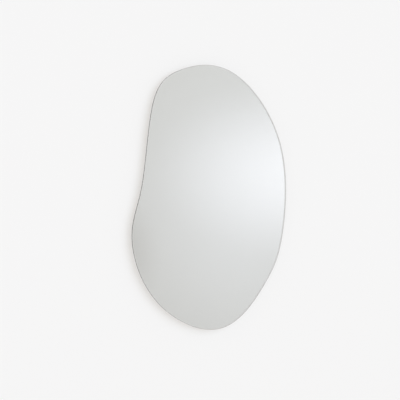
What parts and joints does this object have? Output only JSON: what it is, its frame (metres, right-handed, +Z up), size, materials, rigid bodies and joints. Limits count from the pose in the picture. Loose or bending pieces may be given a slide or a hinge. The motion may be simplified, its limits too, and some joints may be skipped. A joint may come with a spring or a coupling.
{
  "type": "irregular wall mirror",
  "caption": "Frameless wall mirror with an irregular rounded outline, glued to a smaller backing board and hung by swinging rings on its back.",
  "frame": {"origin": "on the wall plane, midway between the points where the two wall hooks bear in the hanging rings", "axes": "+Z up; the mirror faces -Y and the wall lies at y = 0, square to +Y; +X to the right as seen from the front"},
  "size_m": [0.5998, 0.0248, 0.8998],
  "materials": {
    "glass": "clear float glass with a pencil-polished edge",
    "coating": "silvered, painted grey behind",
    "film": "thin woven-backed safety film",
    "foam_tape": "closed-cell foam tape",
    "adhesive": "neutral-cure mirror adhesive",
    "board": "raw medium-density fibreboard",
    "zinc_steel": "bright zinc plate",
    "screw_steel": "bright zinc plate",
    "rubber": "matt black rubber"
  },
  "bodies": {
    "mirror": {"mirror_glass": "glass", "mirror_coating": "coating", "safety_film": "film", "foam_tape_1": "foam_tape", "foam_tape_2": "foam_tape", "foam_tape_3": "foam_tape", "foam_tape_4": "foam_tape", "adhesive_bead_1": "adhesive", "adhesive_bead_2": "adhesive", "adhesive_bead_3": "adhesive", "back_board": "board", "hanger_strap_left": "zinc_steel", "hanger_strap_right": "zinc_steel", "strap_screws": "screw_steel", "wall_bumper_top_left": "rubber", "wall_bumper_top_right": "rubber", "wall_bumper_bottom_left": "rubber", "wall_bumper_bottom_right": "rubber"},
    "left_ring": {"hanger_ring_left": "zinc_steel"},
    "right_ring": {"hanger_ring_right": "zinc_steel"}
  },
  "joints": [
    {"name": "left_ring_swing", "type": "hinge", "parent": "mirror", "child": "left_ring", "pos_m": [-0.12, -0.0035, -0.01748], "axis": [-1, 0, 0], "range_deg": [0, 176]},
    {"name": "right_ring_swing", "type": "hinge", "parent": "mirror", "child": "right_ring", "pos_m": [0.12, -0.0035, -0.01748], "axis": [-1, 0, 0], "range_deg": [0, 176]}
  ]
}
